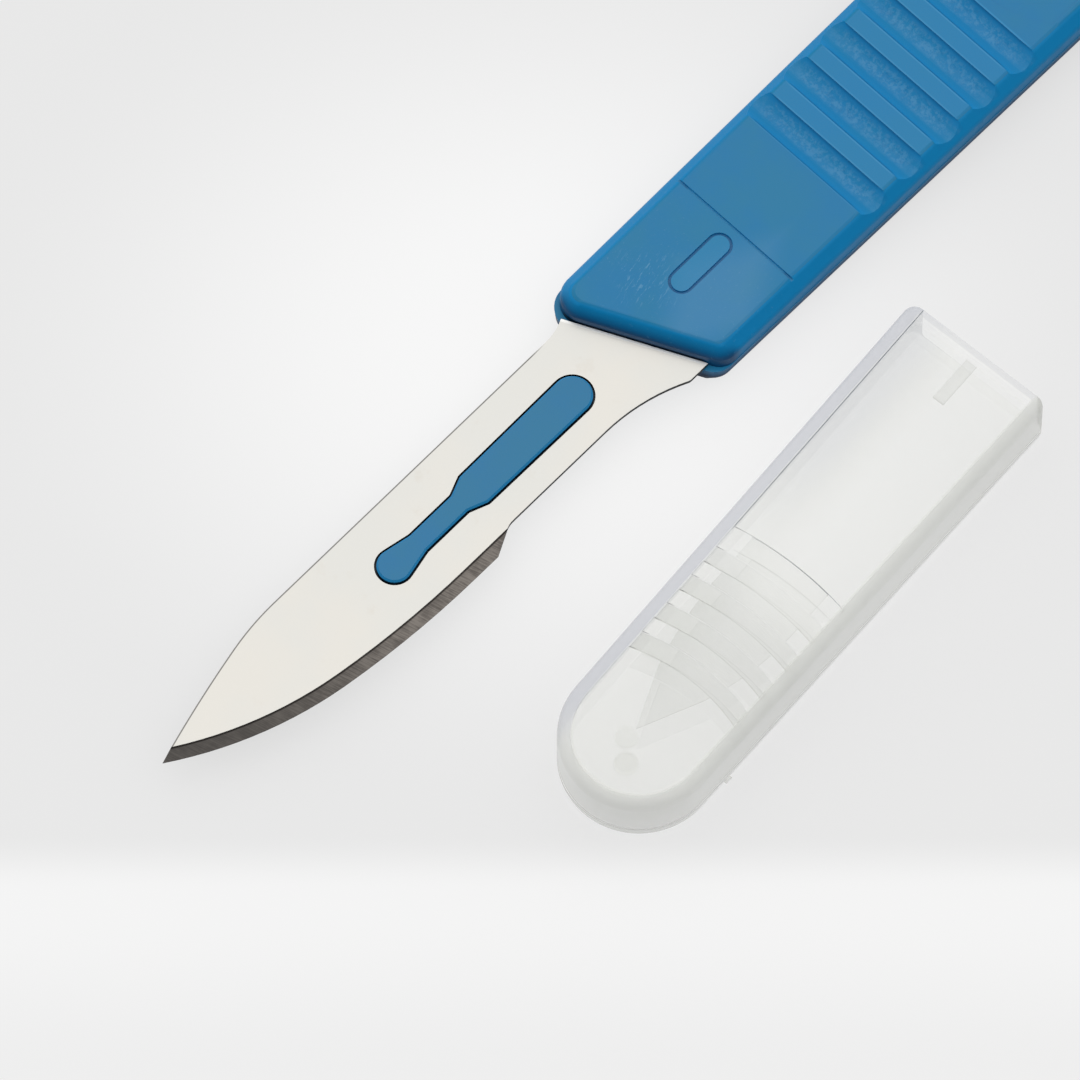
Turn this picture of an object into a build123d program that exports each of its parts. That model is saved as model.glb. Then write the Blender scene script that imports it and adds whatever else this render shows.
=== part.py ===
from build123d import *
import os
from math import cos, radians, sin, tan

# Disposable scalpel lying flat, with its blade guard taken off and laid beside it. Millimetres.
# +X runs to the point of the blade, +Y to its cutting edge, +Z up. The origin is on the handle's
# underside, where the sloping shoulder crosses the middle line of the handle.

# Handle body
handle_length = 107.0        # shoulder to butt along the middle line
handle_thickness = 5.0
front_width = 14.6           # across the parting line, at the shoulder
waist_width = 15.4           # across the parting line, where the straight flanks end
flank_length = 44.0          # shoulder to the end of the straight flanks
butt_width = 12.0
butt_bulge = 1.6             # how far the butt bows out
butt_corner_radius = 4.0
shoulder_lean = 25.6         # degrees that the shoulder leans from square
back_corner_radius = 2.2     # front corner over the back of the blade
edge_corner_radius = 1.8     # front corner over the cutting edge side
side_draft = 0.09            # how much each flank leans in from the parting line to the chamfer
parting_step = 0.04          # how much the lower half stands out at the parting line
shoulder_ledge = 0.55        # how far the lower half stands out under the heel of the blade
chamfer_rise = 1.1
chamfer_side = 1.15          # width of the chamfer along the flanks and the butt
chamfer_front = 0.92         # width of the chamfer along the shoulder, upper face
chamfer_front_under = 0.35   # and on the underside
chamfer_round = 0.8          # rounding where the chamfer meets the flank
face_round = 0.7             # and where it meets the upper face
face_round_under = 0.2

# Finger grip, on both faces
grip_start = 20.42           # shoulder to the front edge of the first trough
trough_count = 5
trough_width = 2.77
rib_width = 1.63
trough_depth = 0.6
trough_lip = 0.1             # upright edge of a trough before its hollow starts

# Marks on the upper face
mark_depth = 0.2
mark_groove = 0.25           # width of the groove that draws a mark
oval_length = 6.45
oval_width = 2.0
oval_place = 8.15            # shoulder to the middle of the oval
witness_place = 12.3         # shoulder to the line across the handle
panel_front = 41.7           # shoulder to the front of the bare panel
panel_length = 52.0
panel_end_radius = 10.3
panel_margin = 0.45          # flat left beside the panel
panel_depth = 0.12

# Blade
blade_thickness = 0.45
blade_reach = 53.15          # shoulder to the point
point_drop = 1.6             # middle line to the point, towards the back
back_height = 4.86           # middle line to the straight back
shank_height = 4.13          # middle line to the shank's lower edge
edge_height = 5.45           # middle line to the straight part of the cutting edge
clip_angle = 13.3            # degrees that the clipped back slopes to the point
clip_radius = 26.0           # bend between the straight back and the clip
clip_bow = 0.2               # how far the clip bows out
edge_heel = 21.3             # shoulder to the heel of the cutting edge
belly_start = 24.0           # shoulder to where the cutting edge starts to curve
belly_turn = 38.0            # shoulder to where it curves more tightly
belly_turn_height = 4.37
edge_heel_slope = 27.0       # degrees
edge_heel_radius = 2.0
bevel_width = 1.15
edge_land = 0.03             # thickness left at the cutting edge
heel_back_height = 5.4       # middle line to the corner of the heel at the back
heel_back_flare = 5.0        # shoulder to where that flare starts
heel_edge_height = 6.0       # middle line to the corner of the heel at the edge side
heel_edge_corner = 0.7       # that corner's rounded nose, behind the shoulder
heel_edge_flare = 7.3        # shoulder to where the lower flare starts
heel_nose_radius = 0.6
heel_gap = 0.06              # between the heel and the shoulder

# Keyhole slot of the blade, the handle's key in it and the tongue below
slot_rear = 6.95             # shoulder to the middle of the rear round
slot_rear_radius = 1.9
slot_body_half = 1.8
slot_body_end = 18.5
slot_neck_start = 20.2
slot_neck_half = 1.13
slot_neck_end = 25.0
slot_bulb = 27.8             # shoulder to the middle of the front bulb
slot_bulb_radius = 1.68
slot_corner_radius = 0.5
key_gap = 0.2
key_rise = 0.25              # how far the key stands over the blade
key_chamfer = 0.16
tongue_thickness = 1.3
tongue_half = 3.7
tongue_nose_radius = 2.9
tongue_round = 0.4

# Blade guard, in its own frame: u from the mouth to the round end, v across it
guard_length = 50.25
guard_mouth_width = 14.3
guard_end_radius = 6.65
guard_height = 6.5
guard_wall = 1.1             # side walls and round end
guard_skin = 0.65            # upper and lower walls
guard_round = 1.0            # outer edges, also round the mouth
guard_corner_radius = 1.1    # corners of the mouth, from above
guard_inner_round = 0.35
guard_turn = 4.11            # degrees that the guard lies turned from the scalpel
guard_x = -17.98             # middle of the mouth, from the origin
guard_y = 22.16
arc_centre = 54.35           # mouth to the common centre of the step and the ribs
step_place = 24.1            # mouth to the step of the inner wall
step_rise = 0.15
rib_place = 27.1             # mouth to the middle of the first rib
rib_pitch = 3.1
rib_count = 4
guard_rib_width = 1.6
guard_rib_rise = 0.45
pad_half = 3.95
pad_shoulder = 28.35         # mouth to where the pad starts to narrow
pad_waist = 37.95            # mouth to where its point starts
pad_waist_half = 2.4
pad_point = 43.35            # mouth to the tip of the pad
pad_rise = 0.3
bar_place = 3.3              # mouth to the middle of the key bar
bar_length = 4.35
bar_width = 1.1
bar_rise = 0.35
gate_place = 44.55           # mouth to the middle of the gate marks
gate_side = -0.55            # the gate marks and the pad's tip, off the guard's middle line
gate_radius = 1.0
gate_depth = 0.15
pip_place = 40.45            # mouth to the small pip on the outer side
pip_radius = 0.35
pip_rise = 0.2
pip_height = 0.7

over = 1.0                   # how far a cutting tool runs past the face that it cuts

seat_z = handle_thickness / 2
blade_top = seat_z + blade_thickness
key_top = blade_top + key_rise


def shoulder_x(y, ahead=0.0):
    """Where the sloping shoulder, moved ahead along its normal, lies at a distance y from the middle line."""
    lean = radians(shoulder_lean)
    return -y * tan(lean) + ahead / cos(lean)


def handle_plan(side_inset, front_inset):
    """Outline of the handle from above, pulled in at its sides and butt and at its sloping shoulder."""
    spread = (waist_width - front_width) / 2 / flank_length
    front_half = front_width / 2 - side_inset
    waist_half = waist_width / 2 - side_inset
    butt_half = butt_width / 2 - side_inset
    lean = radians(shoulder_lean)
    setback = front_inset / cos(lean)
    back_y = -(front_half + spread * setback) / (1 + spread * tan(lean))
    edge_y = (front_half + spread * setback) / (1 - spread * tan(lean))
    corner_back = (shoulder_x(back_y, -front_inset), back_y)
    corner_edge = (shoulder_x(edge_y, -front_inset), edge_y)
    butt_x = -handle_length + butt_bulge + side_inset
    front = Line(corner_back, corner_edge)
    edge_flank = Line(corner_edge, (-flank_length, waist_half))
    edge_curve = TangentArc((-flank_length, waist_half), (butt_x, butt_half), tangent=edge_flank % 1)
    butt = ThreePointArc((butt_x, butt_half), (-handle_length + side_inset, 0), (butt_x, -butt_half))
    back_flank = Line((-flank_length, -waist_half), corner_back)
    back_curve = TangentArc((-flank_length, -waist_half), (butt_x, -butt_half), tangent=-(back_flank % 0))
    plan = make_face([front, edge_flank, edge_curve, butt, back_curve, back_flank])
    nose = plan.vertices().sort_by(Axis.X)[-2:].sort_by(Axis.Y)
    plan = fillet(nose[0], back_corner_radius - side_inset)
    nose = plan.vertices().sort_by_distance(corner_edge)
    plan = fillet(nose[0], edge_corner_radius - side_inset)
    ends = plan.vertices().sort_by(Axis.X)[:2]
    return fillet(ends, butt_corner_radius - side_inset)


def handle_half(face_z, step, ledge, front, soft):
    """One half of the body, from the parting line to the flat face, with its drafted wall and softened chamfer."""
    up = 1 if face_z > seat_z else -1
    rim_z = face_z - up * chamfer_rise
    wall = [
        Pos(0, 0, seat_z) * handle_plan(step, -ledge),
        Pos(0, 0, rim_z) * handle_plan(side_draft, side_draft - ledge),
    ]
    slope = [
        Pos(0, 0, rim_z) * handle_plan(side_draft, side_draft - ledge),
        Pos(0, 0, face_z) * handle_plan(chamfer_side, front - ledge),
    ]
    half = loft(wall, ruled=True) + loft(slope, ruled=True)
    rim = half.edges().filter_by_position(Axis.Z, rim_z - 0.01, rim_z + 0.01)
    half = fillet(rim, chamfer_round)
    return fillet(half.edges().filter_by_position(Axis.Z, face_z - 0.01, face_z + 0.01), soft)


def grip_trough(front_x):
    """Cutter for one finger trough of the upper face: upright lips with a round hollow between them."""
    rear_x = front_x - trough_width
    lip_z = handle_thickness - trough_lip
    top_z = handle_thickness + over
    section = Plane.XZ * make_face([
        Line((front_x, top_z), (front_x, lip_z)),
        ThreePointArc(
            (front_x, lip_z),
            ((front_x + rear_x) / 2, handle_thickness - trough_depth),
            (rear_x, lip_z),
        ),
        Line((rear_x, lip_z), (rear_x, top_z)),
        Line((rear_x, top_z), (front_x, top_z)),
    ])
    return extrude(section, waist_width, both=True)


def grip_cutters():
    """All the finger troughs, on the upper face and mirrored on the underside."""
    pitch = trough_width + rib_width
    upper = [grip_trough(-grip_start - n * pitch) for n in range(trough_count)]
    middle = Plane.XY.offset(handle_thickness / 2)
    lower = [mirror(trough, about=middle) for trough in upper]
    return upper + lower


def oval_mark():
    """Cutter for the groove that draws an upright oval on the front of the upper face."""
    oval = SlotOverall(oval_length, oval_width)
    ring = offset(oval, mark_groove / 2) - offset(oval, -mark_groove / 2)
    return extrude(Pos(-oval_place, 0, handle_thickness - mark_depth) * ring, mark_depth + over)


def witness_line():
    """Cutter for the thin line across the upper face, between the oval and the grip."""
    line = Rectangle(mark_groove, waist_width)
    return extrude(Pos(-witness_place, 0, handle_thickness - mark_depth) * line, mark_depth + over)


def bare_panel():
    """Cutter for the shallow plain panel behind the grip, with bowed ends and sides along the handle's."""
    inner = handle_plan(chamfer_side + panel_margin, chamfer_front)
    bowed = SlotOverall(panel_length, 2 * panel_end_radius)
    middle = -panel_front - panel_length / 2
    panel = inner & (Pos(middle, 0) * bowed)
    return extrude(Pos(0, 0, handle_thickness - panel_depth) * panel, panel_depth + over)


def slot_plan(inset=0.0):
    """The blade's keyhole slot, or the key inset from it: a rear round, a broad body, a neck and a bulb."""
    rear_radius = slot_rear_radius - inset
    body_half = slot_body_half - inset
    neck_half = slot_neck_half - inset
    bulb_radius = slot_bulb_radius - inset
    broad = make_hull([
        Line((slot_body_end, -body_half), (slot_body_end, body_half)),
        *(Pos(slot_rear, 0) * Circle(rear_radius)).edges(),
    ])
    neck = Polygon(
        (slot_body_end, -body_half), (slot_neck_start, -neck_half), (slot_neck_end, -neck_half),
        (slot_neck_end, neck_half), (slot_neck_start, neck_half), (slot_body_end, body_half),
        align=None,
    )
    bulb = make_hull([
        Line((slot_neck_end, -neck_half), (slot_neck_end, neck_half)),
        *(Pos(slot_bulb, 0) * Circle(bulb_radius)).edges(),
    ])
    plan = broad + neck + bulb
    corners = plan.vertices().filter_by_position(Axis.X, slot_body_end - 0.01, slot_neck_end + 0.01)
    return fillet(corners, slot_corner_radius)


def tongue():
    """The tongue that carries the blade, with the raised key that fills the blade's slot."""
    root = -edge_corner_radius
    outline = make_hull([
        *(Pos((root + slot_neck_start) / 2, 0) * Rectangle(slot_neck_start - root, 2 * tongue_half)).edges(),
        *(Pos(slot_bulb, 0) * Circle(tongue_nose_radius)).edges(),
    ])
    blank = extrude(Pos(0, 0, seat_z - tongue_thickness) * outline, tongue_thickness)
    blank = fillet(blank.edges().group_by(Axis.Z)[0], tongue_round)
    key = extrude(Pos(0, 0, seat_z) * slot_plan(key_gap), key_top - seat_z)
    key = chamfer(key.edges().group_by(Axis.Z)[-1], key_chamfer)
    return blank + key


def handle():
    """The whole blue moulding: body, grip, marks, tongue and key."""
    body = handle_half(0.0, 0.0, shoulder_ledge, chamfer_front_under, face_round_under)
    body += handle_half(handle_thickness, parting_step, 0.0, chamfer_front, face_round)
    body -= grip_cutters()
    body -= [oval_mark(), witness_line(), bare_panel()]
    return body + tongue()


def blade_plan():
    """Outline of the blade from above, without its slot."""
    heel_edge = (shoulder_x(heel_edge_height, heel_gap), heel_edge_height)
    heel_nose = (-heel_edge_corner, heel_edge_height)
    heel_back = (shoulder_x(-heel_back_height, heel_gap), -heel_back_height)
    flare_back = (heel_back_flare, -back_height)
    flare_edge = (heel_edge_flare, shank_height)
    point = (blade_reach, -point_drop)
    clip = (blade_reach - (back_height - point_drop) / tan(radians(clip_angle)), -back_height)
    step_run = (edge_height - shank_height) / tan(radians(edge_heel_slope))
    step = (edge_heel - step_run, shank_height)
    heel = (edge_heel, edge_height)
    belly = Line(heel, (belly_start, edge_height))
    long_curve = TangentArc(belly @ 1, (belly_turn, belly_turn_height), tangent=belly % 1)
    plan = make_face([
        Line(heel_edge, heel_back),
        TangentArc(flare_back, heel_back, tangent=(-1, 0)),
        Line(flare_back, clip),
        SagittaArc(clip, point, -clip_bow),
        TangentArc(long_curve @ 1, point, tangent=long_curve % 1),
        long_curve,
        belly,
        Line(heel, step),
        Line(step, flare_edge),
        TangentArc(flare_edge, heel_nose, tangent=(-1, 0)),
        Line(heel_nose, heel_edge),
    ])
    for corner, radius in [(clip, clip_radius), (step, edge_heel_radius), (heel_nose, heel_nose_radius)]:
        plan = fillet(plan.vertices().sort_by_distance(corner)[0], radius)
    return plan


def blade():
    """The steel blade: a thin plate with the slot, ground from both sides along its belly."""
    plate = extrude(Pos(0, 0, seat_z) * blade_plan(), blade_thickness)
    plate -= extrude(Pos(0, 0, seat_z - over) * slot_plan(), blade_thickness + 2 * over)
    fall = (blade_thickness - edge_land) / 2
    for top in (True, False):
        face = plate.faces().filter_by(Plane.XY).sort_by(Axis.Z)[-1 if top else 0]
        z = blade_top if top else seat_z
        straight = face.edges().sort_by_distance(((edge_heel + belly_start) / 2, edge_height, z))[0]
        long_curve = face.edges().sort_by_distance(((belly_start + belly_turn) / 2, edge_height, z))[0]
        tip_curve = face.edges().sort_by_distance(((belly_turn + blade_reach) / 2, belly_turn_height, z))[0]
        plate = chamfer([straight, long_curve, tip_curve], bevel_width, fall, reference=face)
    return plate


def guard_plan(inset=0.0, mouth=0.0):
    """Outline of the guard from above, pulled in on its sides and round end, open at the mouth."""
    half = guard_mouth_width / 2 - inset
    radius = guard_end_radius - inset
    end = Pos(guard_length - guard_end_radius, 0) * Circle(radius)
    return make_hull([Line((mouth, -half), (mouth, half)), *end.edges()])


def arc_disc(near):
    """Round plan about the common centre of the step and the ribs, whose edge bows towards the mouth."""
    return Pos(arc_centre, 0) * Circle(arc_centre - near)


def guard_pad():
    """Plan of the pointed pad inside the guard, which follows the shape of the blade's point."""
    outline = [Line((step_place, -pad_half), (step_place, pad_half))]
    for side in (-1, 1):
        shoulder = (pad_shoulder, side * pad_half)
        waist = (pad_waist, side * pad_waist_half + gate_side / 2)
        outline.append(Line((step_place, side * pad_half), shoulder))
        outline.append(TangentArc(shoulder, waist, tangent=(1, 0)))
        outline.append(Line(waist, (pad_point, gate_side)))
    return make_face(outline)


def guard_inside():
    """The hollow of the guard: a flat pocket with a stepped, ribbed and padded floor and ceiling."""
    hollow_height = guard_height - 2 * guard_skin
    hollow = extrude(Pos(0, 0, guard_skin) * guard_plan(guard_wall, -over), hollow_height)
    long_edges = hollow.edges().filter_by(Plane.XY)
    hollow = fillet(long_edges.filter_by(lambda e: e.bounding_box().size.X > over), guard_inner_round)
    pocket = guard_plan(guard_wall)
    step = pocket & arc_disc(step_place)
    pad = step & guard_pad()
    ribs = [
        pocket & (arc_disc(middle - guard_rib_width / 2) - arc_disc(middle + guard_rib_width / 2))
        for middle in (rib_place + n * rib_pitch for n in range(rib_count))
    ]
    raised = [(step, step_rise), (pad, pad_rise)] + [(rib, guard_rib_rise) for rib in ribs]
    for plan, rise in raised:
        hollow -= extrude(Pos(0, 0, guard_skin) * plan, rise)
        hollow -= extrude(Pos(0, 0, guard_height - guard_skin) * plan, -rise)
    bar = Pos(bar_place, 0, guard_height - guard_skin) * Rectangle(bar_length, bar_width)
    return hollow - extrude(bar, -bar_rise)


def blade_guard():
    """The translucent guard, laid beside the scalpel with its mouth towards the butt."""
    shell = extrude(guard_plan(), guard_height)
    shell = fillet(shell.edges().filter_by(Axis.Z).group_by(Axis.X)[0], guard_corner_radius)
    shell = fillet(shell.edges().filter_by(Plane.XY), guard_round)
    shell -= guard_inside()
    gate = Pos(gate_place, gate_side) * Circle(gate_radius)
    shell -= extrude(Pos(0, 0, guard_height - gate_depth) * gate, gate_depth + over)
    shell -= extrude(Pos(0, 0, gate_depth) * gate, -gate_depth - over)
    flank_y = guard_mouth_width / 2 - guard_wall / 2
    pip_reach = guard_wall / 2 + pip_rise
    taper = (guard_mouth_width / 2 - guard_end_radius) * pip_place / (guard_length - guard_end_radius)
    pip = Pos(pip_place, flank_y - taper, pip_height) * Rot(-90, 0, 0) * Cylinder(
        pip_radius, pip_reach, align=(Align.CENTER, Align.CENTER, Align.MIN)
    )
    return Pos(guard_x, guard_y, 0) * Rot(0, 0, guard_turn) * (shell + pip)


parts = {"handle": handle(), "blade": blade(), "blade_guard": blade_guard()}
os.makedirs("parts", exist_ok=True)
for name, shape in parts.items():
    export_step(shape, f"parts/{name}.step")
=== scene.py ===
"""Disposable scalpel: blue moulded handle, satin steel blade and frosted guard, on a pale studio floor."""

from math import cos, radians, sin, tan

import bpy
from mathutils import Matrix, Vector

MM = 0.001

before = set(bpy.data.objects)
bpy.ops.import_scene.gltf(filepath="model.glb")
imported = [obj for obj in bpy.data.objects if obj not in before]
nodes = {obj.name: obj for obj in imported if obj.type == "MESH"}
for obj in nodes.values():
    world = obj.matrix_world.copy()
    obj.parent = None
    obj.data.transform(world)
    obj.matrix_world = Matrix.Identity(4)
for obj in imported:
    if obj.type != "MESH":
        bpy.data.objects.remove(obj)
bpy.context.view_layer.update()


# The picture
ELEVATION = radians(67.5)
SIDE = Vector((-0.6929, 0.7210, 0.0))  # the picture's right
AWAY = Vector((-0.7210, -0.6929, 0.0))  # up the picture, along the floor
UP = Vector((0.0, 0.0, 1.0))
MIDDLE = (17.2, 6.2, 0.425)  # the point that the picture is centred on, in millimetres
DISTANCE = 1.5
SENSOR_WIDTH = 36.0
FRAME_WIDTH = 87.95 * MM
LIGHT_ELEVATION = radians(57)

# Places on the handle and the blade, in millimetres
HANDLE_TOP = 5.0
HALF_HEIGHT = HANDLE_TOP / 2
BLADE_TOP = 2.95
SHOULDER_LEAN = radians(25.6)
GRIP_START, GRIP_PITCH = 20.42, 4.4
GRIP_END = 4.66  # where the last trough ends, in pitches
TROUGH = 0.63  # a trough's share of the pitch, the rest being the rib after it
OVAL_PLACE, OVAL_RUN = 8.15, 2.22  # to its middle, and half of its straight sides
WITNESS_PLACE = 12.3
KEY_HEEL = 3.0
CLIP_BEND = (36.92, 21.14, 26.0)  # centre and radius of the bend in the blade's back
CLIP_BOW = (17.41, 118.81, 125.6)  # and of the bowed clip after it
CLIP_START = 42.0

# Places on the guard: u runs from its mouth along it, and v across it
GUARD_TURN = radians(4.11)
GUARD_MOUTH = (-17.98, 22.16)
GUARD_HEIGHT = 6.5
GUARD_BEND = 43.6  # from the mouth to the middle of the round end
GUARD_TAPER = 0.5  # how much each side draws in by there
STEP_CENTRE, STEP_RADIUS = 54.35, 30.25
GATE = (44.55, -0.55)
SEAM_HEIGHT = 1.65
CORNER_HEIGHT = 5.7

# The floor
FLOOR_HALF = 2.0
FLOOR_DROP = 0.02 * MM
GLOW_PLACE = 17.0  # how far the middle of the glow lies up the picture from the point it is centred on
BACKDROP_SHARE = 0.78


def add_camera():
    """A very long lens, so that parallel edges stay parallel as in the photograph."""
    data = bpy.data.cameras.new("camera")
    data.sensor_width = SENSOR_WIDTH
    data.lens = SENSOR_WIDTH * DISTANCE / FRAME_WIDTH
    data.clip_start, data.clip_end = 0.1, 10.0
    camera = bpy.data.objects.new("camera", data)
    bpy.context.scene.collection.objects.link(camera)
    back = -AWAY * cos(ELEVATION) + UP * sin(ELEVATION)
    turn = Matrix((SIDE, back.cross(SIDE), back)).transposed()
    camera.matrix_world = Matrix.Translation(Vector(MIDDLE) * MM + back * DISTANCE) @ turn.to_4x4()
    bpy.context.scene.camera = camera


# The shader maths


class Tree:
    """The nodes of one material. Values are written as expressions on wrapped sockets."""

    def __init__(self, name):
        self.material = bpy.data.materials.new(name)
        self.material.use_nodes = True
        self._empty(self.material.node_tree)

    def _empty(self, tree):
        self.nodes, self.links = tree.nodes, tree.links
        self.nodes.clear()

    @classmethod
    def of(cls, tree):
        """The nodes of something other than a material, such as the world."""
        made = cls.__new__(cls)
        made._empty(tree)
        return made

    def node(self, kind, settings=None, out=0, **inputs):
        """Adds a node: its settings first, then each socket's value or link, by name or as i and a number."""
        made = self.nodes.new(kind)
        for key, value in (settings or {}).items():
            setattr(made, key, value)
        for key, value in inputs.items():
            numbered = key[0] == "i" and key[1:].isdigit()
            socket = made.inputs[int(key[1:]) if numbered else key.replace("_", " ")]
            if isinstance(value, Value):
                self.links.new(value.socket, socket)
            else:
                socket.default_value = value
        return Value(self, made.outputs[out]) if made.outputs else None

    def place(self):
        """The point on the object, in millimetres."""
        point = self.node("ShaderNodeTexCoord", out="Object")
        return self.node("ShaderNodeVectorMath", {"operation": "SCALE"}, i0=point, Scale=1 / MM)

    def level(self, normal):
        """How level the surface lies: 0 on an upright wall and 1 on a face turned straight up or down."""
        return abs(self.split(self.node("ShaderNodeNewGeometry", out=normal))[2])

    def split(self, vector):
        """The three parts of a vector."""
        parts = self.nodes.new("ShaderNodeSeparateXYZ")
        self.links.new(vector.socket, parts.inputs[0])
        return [Value(self, part) for part in parts.outputs]

    def join(self, x, y, z):
        return self.node("ShaderNodeCombineXYZ", i0=x, i1=y, i2=z)

    def noise(self, vector, scale, detail, roughness):
        return self.node(
            "ShaderNodeTexNoise",
            {"noise_dimensions": "3D"},
            Vector=vector,
            Scale=scale,
            Detail=detail,
            Roughness=roughness,
        )

    def mix(self, share, first, second):
        """A colour between two, by a share from 0 to 1."""
        first, second = (c if isinstance(c, Value) else (*c, 1.0) for c in (first, second))
        return self.node("ShaderNodeMix", {"data_type": "RGBA"}, out=2, i0=share, i6=first, i7=second)

    def layers(self, base, *coats):
        """A base colour with others laid over it in turn, each with its own share."""
        for share, colour in coats:
            base = self.mix(share, base, colour)
        return base

    def ease(self, value, low, high):
        """0 below low, 1 above high and a smooth rise between them."""
        smooth = {"interpolation_type": "SMOOTHSTEP"}
        return self.node("ShaderNodeMapRange", smooth, i0=value, i1=low, i2=high)

    def fade(self, value, low, high):
        """1 below low, 0 above high and a smooth fall between them."""
        return 1.0 - self.ease(value, low, high)

    def bump(self, height, strength, distance):
        return self.node("ShaderNodeBump", Height=height, Strength=strength, Distance=distance)

    def surface(self, shader):
        self.node("ShaderNodeOutputMaterial", Surface=shader)
        return self.material


class Value:
    """A socket that takes part in arithmetic."""

    def __init__(self, tree, socket):
        self.tree, self.socket = tree, socket

    def _math(self, operation, first, second):
        return self.tree.node("ShaderNodeMath", {"operation": operation}, i0=first, i1=second)

    def __add__(self, other):
        return self._math("ADD", self, other)

    __radd__ = __add__

    def __mul__(self, other):
        return self._math("MULTIPLY", self, other)

    __rmul__ = __mul__

    def __sub__(self, other):
        return self._math("SUBTRACT", self, other)

    def __rsub__(self, other):
        return self._math("SUBTRACT", other, self)

    def __truediv__(self, other):
        return self._math("DIVIDE", self, other)

    def __lt__(self, other):
        return self._math("LESS_THAN", self, other)

    def __gt__(self, other):
        return self._math("GREATER_THAN", self, other)

    def __abs__(self):
        return self._math("ABSOLUTE", self, 0.0)

    def __pow__(self, other):
        return self._math("POWER", self, other)

    def at_least(self, other):
        return self._math("MAXIMUM", self, other)

    def at_most(self, other):
        return self._math("MINIMUM", self, other)


def srgb(*screen):
    """A screen colour, each part from 0 to 255, as scene-linear values."""
    parts = (c / 255 for c in screen)
    return tuple(c / 12.92 if c <= 0.04045 else ((c + 0.055) / 1.055) ** 2.4 for c in parts)


def distance(x, y, centre):
    """The distance from a centre: the root of the sum of the two squared steps."""
    return ((x - centre[0]) ** 2.0 + (y - centre[1]) ** 2.0) ** 0.5


# The materials


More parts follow.
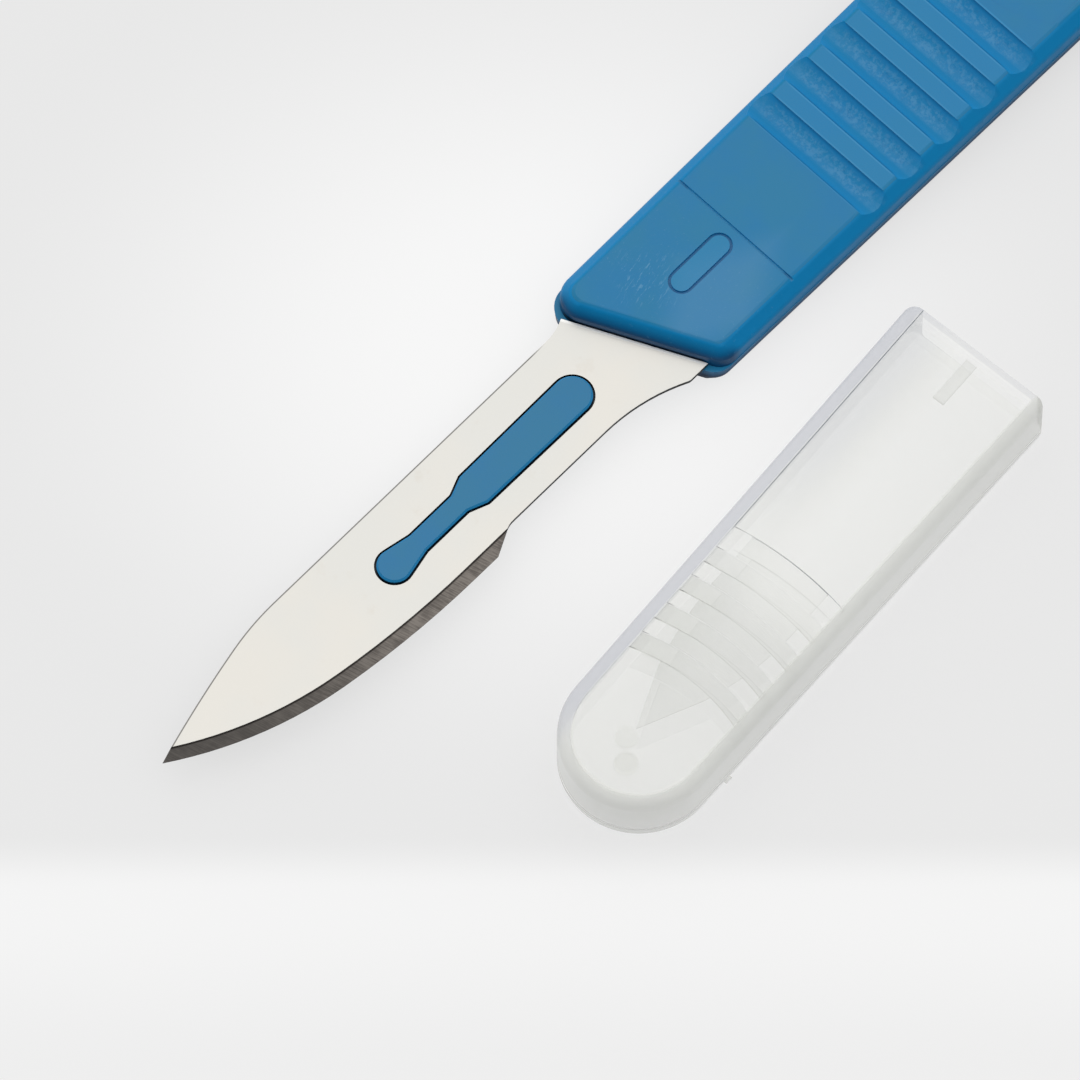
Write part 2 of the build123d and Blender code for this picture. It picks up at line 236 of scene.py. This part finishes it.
def handle_plastic():
    """Blue moulded plastic: smooth and even, with rough grey-blue floors in the finger troughs and worn
    patches near the front. Light and shade are painted in too: the sloping faces a brighter blue than the
    top, painted shade over the shoulder, along the blade's heel, in the troughs, in the cut grooves, on the
    flank near the floor and in the gap round the key, and painted highlights along the edges of the troughs."""
    t = Tree("handle_plastic")
    p = t.place()
    x, y, z = t.split(p)
    level = t.level("True Normal")
    ahead = x + y * tan(SHOULDER_LEAN)
    depth = HALF_HEIGHT - abs(z - HALF_HEIGHT)
    upper = z > HALF_HEIGHT
    inboard = t.fade(abs(y), 5.2, 6.4)
    key_zone = t.ease(x, KEY_HEEL, KEY_HEEL + 0.5)
    grain = t.noise(p, 5.0, 3.0, 0.65)
    mottle = t.ease(t.noise(p, 0.16, 4.0, 0.6), 0.35, 0.65)
    speck = t.ease(t.noise(p, 3.0, 5.0, 0.75), 0.58, 0.7)

    # The sloping faces, painted a brighter blue than the top for how they catch the light, with painted shade
    # over the shoulder and a painted dark line of shade along the blade's heel
    sloped = t.fade(level, 0.82, 0.97)
    brow_shade = sloped * t.ease(ahead, -2.2, -0.9) * t.fade(ahead, 0.3, 0.4) * t.fade(z, 3.7, 4.95) * upper
    joint_shade = sloped * t.fade(z, BLADE_TOP + 0.12, BLADE_TOP + 0.3) * upper
    joint_shade = joint_shade * t.ease(ahead, -1.2, -0.9) * t.fade(ahead, 0.1, 0.2) * t.fade(abs(y), 5.4, 5.9)

    # The finger grip: across counts the pitches, and turn is the place within one
    across = (x + GRIP_START) / -GRIP_PITCH
    turn = t.node("ShaderNodeMath", {"operation": "FRACT"}, i0=across)
    in_grip = t.ease(across, -0.02, 0.0) * t.fade(across, GRIP_END, GRIP_END + 0.02)
    hollow = in_grip * t.fade(turn, TROUGH - 0.002, TROUGH + 0.002)
    hollow = hollow * t.ease(depth, 0.02, 0.08) * t.fade(depth, 0.6, 0.75)
    rough = hollow * t.ease(turn, 0.16, 0.32) * t.fade(turn, 0.5, 0.6) * (0.4 + inboard * 0.6)
    # Painted shade: a dark line at the front of each trough, and a darkening down its rear wall to a dark
    # line
    front_shade_line = hollow * inboard * t.fade(turn, 0.02, 0.07)
    rear_shade = hollow * (0.3 + inboard * 0.7) * t.ease(turn, 0.46, 0.62)
    rear_shade_line = hollow * inboard * t.ease(turn, 0.585, 0.615)
    rib = in_grip * t.ease(turn, TROUGH, TROUGH + 0.005) * t.ease(level, 0.97, 0.99)
    rib = rib * t.fade(depth, 0.01, 0.05)
    rib_rear = t.ease(turn, TROUGH - 0.002, TROUGH + 0.003) * t.fade(turn, TROUGH + 0.01, TROUGH + 0.04)
    # Painted highlight: light lines along the edges of the troughs and ribs
    lip_highlight = rib_rear + t.ease(turn, 0.965, 0.985) + t.fade(turn, 0.0, 0.012)
    lip_highlight = lip_highlight * in_grip * inboard * t.fade(depth, 0.01, 0.12)
    pits = t.ease(t.noise(p, 2.4, 4.0, 0.72), 0.42, 0.62)
    dents = t.ease(t.noise(p, 1.7, 5.0, 0.7), 0.52, 0.66)

    # The wear near the front, with the oval kept clear of scuffs
    front = t.fade(abs(x + 5.5), 3.0, 8.0)
    bloom = t.fade(abs(x + 7.0) * 0.6 + abs(y - 3.0), 2.0, 6.0) * (1.0 - sloped) * (0.6 + speck * 0.4)
    oval_reach = ((abs(x + OVAL_PLACE) - OVAL_RUN).at_least(0.0) ** 2.0 + y * y) ** 0.5
    inside_oval = t.fade(oval_reach, 0.8, 0.95) * (z > HANDLE_TOP - 0.05)
    along = t.join((x * 0.97 + y * 0.24) * 0.22, y * 0.97 - x * 0.24, z)
    scuff = t.ease(t.noise(along, 4.4, 5.0, 0.68), 0.54, 0.66)
    patch = t.ease(4.6 - abs(x + 4.0) * 1.1 - abs(y + 2.3), 0.0, 3.0) * (1.0 - inside_oval)

    # The cut marks: painted paler in the witness line, and painted dark with shade in the other grooves
    cut = t.ease(depth, 0.04, 0.16) * t.fade(depth, 0.25, 0.35) * t.ease(z, HALF_HEIGHT, HALF_HEIGHT + 0.1)
    marks = cut * t.ease(x, -13.0, -12.9) * t.fade(ahead, -2.4, -2.2) * t.fade(abs(y), 5.2, 5.6)
    witness = t.ease(abs(x + WITNESS_PLACE), 0.3, 0.4)

    # Painted shade: the flank darkened towards the floor, and the gap round the key darkened
    flank_shade = t.fade(level, 0.6, 0.8) * (1.0 - key_zone)
    gap_shade = key_zone * t.fade(z, BLADE_TOP - 0.05, BLADE_TOP + 0.16)
    gap_shade = gap_shade * t.fade(level, 0.4, 0.6).at_least(z < BLADE_TOP - 0.2)

    colour = t.layers(
        t.mix(mottle, srgb(6, 119, 171), srgb(18, 121, 165)),
        # painted light: the sloping faces brighter than the top
        (sloped, srgb(2, 129, 188)),
        # painted shade over the shoulder and along the blade's heel
        (brow_shade * 0.85, srgb(1, 54, 98)),
        (joint_shade * 0.9, srgb(2, 16, 34)),
        (hollow * 0.45, srgb(8, 126, 186)),
        (rib * 0.6, srgb(6, 127, 182)),
        (rough * (0.1 + pits * 0.46), srgb(82, 148, 192)),
        (rough * dents * 0.3, srgb(4, 104, 158)),
        # painted shade in the troughs
        ((rear_shade * 0.2 + rear_shade_line * 0.2).at_least(front_shade_line * 0.5), srgb(2, 82, 134)),
        # painted highlight along the trough edges
        (lip_highlight * 0.3, srgb(84, 166, 212)),
        (speck * front * 0.3, srgb(96, 152, 184)),
        (bloom * 0.45, srgb(96, 150, 188)),
        (inside_oval * 0.45, srgb(26, 132, 180)),
        (scuff * patch * 0.44, srgb(112, 166, 200)),
        # painted shade in the cut grooves, paler in the witness line
        (marks * (0.6 - witness * 0.15), t.mix(witness, srgb(40, 150, 200), srgb(2, 86, 148))),
        # painted shade on the flank near the floor
        (flank_shade * (0.95 - t.ease(z, 0.9, 3.2) * 0.95), srgb(2, 20, 56)),
        (key_zone * 0.25, srgb(70, 118, 150)),
        # painted shade in the gap round the key
        (gap_shade * 0.95, srgb(4, 20, 36)),
    )
    shade = t.node(
        "ShaderNodeBsdfPrincipled",
        Base_Color=colour,
        Roughness=0.36 + grain * 0.08 + rough * 0.16,
        Specular_IOR_Level=0.16,
        Coat_Weight=t.ease(level, 0.96, 0.995) * (0.6 - hollow * 0.3),
        Coat_Roughness=0.38,
        Normal=t.bump(grain * 0.3 + pits * rough * 1.5, 0.35, 0.03 * MM),
    )
    return t.surface(shade)


def blade_steel():
    """Satin steel, brushed finely along the blade and slightly clouded; the ground bevel is darker, with fine
    lines across the edge and a dark burr line where it starts. The back carries a fine line of painted shade:
    what is left of the radius of the bend, or of the bow past it, once the distance from its centre is taken
    off. The upright edges are painted near black for shade, and a painted highlight runs along the heel."""
    t = Tree("blade_steel")
    p = t.place()
    x, y, z = t.split(p)
    level = t.level("True Normal")
    flat = t.ease(level, 0.988, 0.996)
    wall = t.fade(level, 0.5, 0.8)
    brush = t.noise(t.join(x * 0.35, y * 9.0, z), 1.6, 3.0, 0.6)
    cloud = t.ease(t.noise(p, 0.11, 3.0, 0.55), 0.35, 0.65)
    stain = t.ease(t.noise(t.join(x + 7.0, y + 3.0, z), 0.3, 4.0, 0.65), 0.6, 0.75)
    lines = t.noise(t.join(x * 6.0 + y * 2.0, y * 0.3, z * 0.3), 1.6, 4.0, 0.65)
    patchy = t.noise(p, 0.8, 3.0, 0.6)
    streaks = t.ease(lines * 0.65 + patchy * 0.35, 0.38, 0.62)
    burr = t.ease(z, BLADE_TOP - 0.038, BLADE_TOP - 0.022)

    bend = (x - CLIP_BEND[0]).at_least(0.0)
    bent = CLIP_BEND[2] - (bend * bend + (y - CLIP_BEND[1]) ** 2.0) ** 0.5
    bowed = CLIP_BOW[2] - distance(x, y, CLIP_BOW)
    inset = t.node("ShaderNodeMix", {"data_type": "FLOAT"}, i0=x > CLIP_START, i2=bent, i3=bowed)
    # Painted shade: a fine dark line along the back edge
    back = flat * t.fade(inset, 0.08, 0.14) * t.ease(x, 5.0, 7.0)
    # Painted highlight: a bright strip along the heel, next to the handle
    heel_highlight = t.fade(x + y * tan(SHOULDER_LEAN), 0.2, 0.42)

    plain = t.mix(cloud, srgb(226, 223, 216), srgb(223, 222, 217))
    plain = t.mix(stain * 0.3, plain, srgb(214, 207, 196))
    ground = t.layers(
        t.mix(streaks, srgb(96, 91, 87), srgb(132, 126, 120)),
        (t.ease(x, 26.0, 50.0) * 0.75, srgb(70, 68, 66)),
        (burr * 0.85, srgb(30, 28, 27)),
    )
    colour = t.layers(
        t.mix(flat, ground, plain),
        (back * 0.85, srgb(104, 102, 100)),
        # painted highlight along the heel
        (heel_highlight * flat, srgb(255, 255, 252)),
        # painted shade: the upright edges near black
        (wall, srgb(26, 26, 28)),
    )
    shade = t.node(
        "ShaderNodeBsdfPrincipled",
        Base_Color=colour,
        Metallic=1.0,
        Roughness=0.3 + brush * 0.08 + (1.0 - flat) * 0.06,
        Normal=t.bump(brush * flat + lines * (1.0 - flat), 0.1, 0.01 * MM),
    )
    return t.surface(shade)


def guard_plastic():
    """Frosted translucent plastic: clearest where the wall is thin and level, milkier where the ribs, the pad
    and the gate mark make it thick and where the walls stand up. Light and shade are painted in too: the side
    walls and rim greyer for shade, bluer on the far side, where the inside also carries painted shade and a
    dark line along its inner corner standing for the refraction there; a like dark line along its step;
    painted highlights along the near seam and behind the mouth. The reach is the distance from its middle
    line, or from the middle of the round end past the bend, with what the taper has drawn in added to it."""
    t = Tree("guard_plastic")
    p = t.place()
    x, y, z = t.split(p)
    u = (x - GUARD_MOUTH[0]) * cos(GUARD_TURN) + (y - GUARD_MOUTH[1]) * sin(GUARD_TURN)
    v = (y - GUARD_MOUTH[1]) * cos(GUARD_TURN) - (x - GUARD_MOUTH[0]) * sin(GUARD_TURN)
    past = (u - GUARD_BEND).at_least(0.0)
    reach = (past * past + v * v) ** 0.5 + u.at_most(GUARD_BEND) * (GUARD_TAPER / GUARD_BEND)
    level = t.level("Normal")
    slant = 1.0 - level
    from_mid = abs(z - GUARD_HEIGHT / 2)
    upper = t.ease(z, GUARD_HEIGHT / 2 - 0.1, GUARD_HEIGHT / 2 + 0.1)
    near = t.ease(v + past * 0.5, -5.5, -0.5)
    haze = t.noise(p, 0.1, 3.0, 0.55)

    # The outside: the side walls and their rim, painted greyer for shade, the brim of the mouth, a painted
    # highlight behind it, and a painted highlight along the seam of the near wall
    skin = t.ease(reach, 6.08, 6.14).at_least(t.ease(from_mid, 2.63, 2.7)).at_least(t.fade(u, 0.02, 0.1))
    wall = skin * t.ease(reach - near * 0.25, 5.6, 6.0) * t.ease(z, 0.5, 0.75)
    rim = wall * t.ease(z, 5.5, 6.0)
    seam_highlight = wall * near * t.fade(abs(z - SEAM_HEIGHT), 0.04, 0.1)
    brim = skin * (1.0 - wall) * t.fade(u, 0.75, 0.95) * upper
    gleam = skin * (1.0 - wall) * t.ease(u, 0.75, 0.95) * t.fade(u, 1.3, 1.7) * upper

    # The inside: the ribs and the pad, their ledges, the upright faces, the gate mark, painted shade along
    # the far side near the mouth, and painted dark lines along the inner corner and the step
    inside = 1.0 - skin
    raised = inside * t.ease(from_mid, 2.0, 2.12)
    left = -1.0 * v
    ends = t.ease(u, 24.0, 32.0).at_least(t.fade(u, 8.0, 12.0))
    thick = raised * t.fade(from_mid, 2.25, 2.5) * t.ease(level, 0.5, 0.9)
    thick = thick * (1.0 + t.ease(left, 0.0, 4.5) * 0.7) * (0.35 + ends * 0.65)
    ledge = raised * t.ease(slant, 0.3, 0.7)
    upright = inside * slant * (1.0 - raised)
    gate = t.fade(distance(u, v, GATE), 0.85, 1.1)
    # Painted shade along the far side of the inside, fading away from the mouth
    side_shade = inside * t.ease(left, 0.8, 5.4) * t.fade(u, 12.0, 32.0)
    # Painted dark line along the inner corner on the far side, standing for the refraction there
    corner = inside * t.ease(slant, 0.15, 0.3) * t.fade(abs(z - CORNER_HEIGHT), 0.09, 0.15)
    corner = corner * t.fade(v, -5.4, -4.8)
    arc = abs(((u - STEP_CENTRE) ** 2.0 + v * v) ** 0.5 - STEP_RADIUS)
    # a like painted dark line along the step
    step = raised * upper * t.ease(slant, 0.6, 0.8) * t.fade(arc, 0.1, 0.2)
    step = step * (0.5 + t.ease(v, -4.0, 5.0) * 0.5)

    alpha = 0.03 + wall * (0.14 + near * 0.25) + rim * (0.26 - near * 0.22) + brim * 0.2 + gleam * 0.12
    alpha = alpha + upright * 0.04 + side_shade * 0.14 + thick * (0.05 + upper * 0.12) + gate * level * 0.06
    alpha = alpha + ledge * upper * 0.04 + seam_highlight * 0.55
    colour = t.layers(
        t.mix(t.ease(haze, 0.3, 0.7), srgb(250, 254, 228), srgb(247, 252, 230)),
        (thick.at_least(gate * level * 0.6), srgb(192, 196, 184)),
        (ledge, srgb(150, 155, 150)),
        # painted shade: the side walls and rim greyer, bluer and darker on the far side
        (wall, t.mix(near, srgb(206, 210, 220), srgb(212, 214, 205))),
        (rim, t.mix(near, srgb(180, 184, 196), srgb(204, 206, 198))),
        (brim, srgb(196, 198, 204)),
        # painted shade along the far side
        (side_shade.at_least(upright * 0.6), srgb(206, 210, 218)),
        # painted highlights along the near seam and behind the mouth
        (seam_highlight.at_least(gleam), srgb(255, 255, 252)),
        # the painted dark lines along the inner corner and the step
        (corner.at_least(step), srgb(74, 84, 102)),
    )
    shade = t.node(
        "ShaderNodeBsdfPrincipled",
        Base_Color=colour,
        Roughness=0.26 + haze * 0.08,
        Alpha=(alpha + corner * 0.85 + step * 0.7) * t.ease(z, 0.02, 0.06),
    )
    return t.surface(shade)


def give(node, material):
    nodes[node].data.materials.clear()
    nodes[node].data.materials.append(material)


# The studio


def floor_sheet():
    """A wide pale floor, with a painted pool of light round the object and a painted lighter band in front of
    it.
    """
    mesh = bpy.data.meshes.new("floor")
    corners = [(-1, -1), (1, -1), (1, 1), (-1, 1)]
    mesh.from_pydata([(a * FLOOR_HALF, b * FLOOR_HALF, -FLOOR_DROP) for a, b in corners], [], [(0, 1, 2, 3)])
    floor = bpy.data.objects.new("floor", mesh)
    bpy.context.scene.collection.objects.link(floor)
    t = Tree("studio_floor")
    x, y = t.split(t.place())[:2]
    down = (x - MIDDLE[0]) * -AWAY.x + (y - MIDDLE[1]) * -AWAY.y
    across = (x - MIDDLE[0]) * SIDE.x + (y - MIDDLE[1]) * SIDE.y
    drop = down + GLOW_PLACE
    far = t.node("ShaderNodeMath", {"operation": "SQRT"}, i0=drop * drop * 1.4 + across * across)
    glow = t.fade(far, 6.0, 50.0)
    band = t.ease(down, 25.5, 30.5) * (1.0 - 0.5 * t.ease(down, 32.0, 46.0))
    tone = t.mix(glow, srgb(234, 234, 234), srgb(249, 249, 249))
    tone = t.mix(band * 0.85, tone, srgb(248, 248, 248))
    path = t.nodes.new("ShaderNodeLightPath").outputs
    camera = Value(t, path["Is Camera Ray"])
    seen = camera.at_least(Value(t, path["Is Glossy Ray"])).at_least(Value(t, path["Is Transmission Ray"]))
    sheet = t.node("ShaderNodeBsdfDiffuse", Color=t.mix(seen, srgb(188, 188, 188), tone))
    backdrop = t.node("ShaderNodeEmission", Color=tone, Strength=1.0)
    both = t.node("ShaderNodeMixShader", i0=camera * BACKDROP_SHARE, i1=sheet, i2=backdrop)
    mesh.materials.append(t.surface(both))


def studio():
    """A dome of soft light, pale and even overhead and up the picture, and dim near the floor in front."""
    floor_sheet()
    world = bpy.data.worlds.new("studio")
    world.use_nodes = True
    t = Tree.of(world.node_tree)
    sight = t.node("ShaderNodeTexCoord", out="Generated")
    lit = AWAY * cos(LIGHT_ELEVATION) + UP * sin(LIGHT_ELEVATION)
    facing = t.node("ShaderNodeVectorMath", {"operation": "DOT_PRODUCT"}, out="Value", i0=sight, i1=lit)
    strength = 0.16 + t.ease(facing, -0.1, 0.5) * 0.94
    light = t.node("ShaderNodeBackground", Color=(1.0, 0.998, 0.995, 1.0), Strength=strength)
    t.node("ShaderNodeOutputWorld", Surface=light)
    bpy.context.scene.world = world


bpy.context.scene.view_settings.view_transform = "Standard"
add_camera()
give("handle", handle_plastic())
give("blade", blade_steel())
give("blade_guard", guard_plastic())
studio()
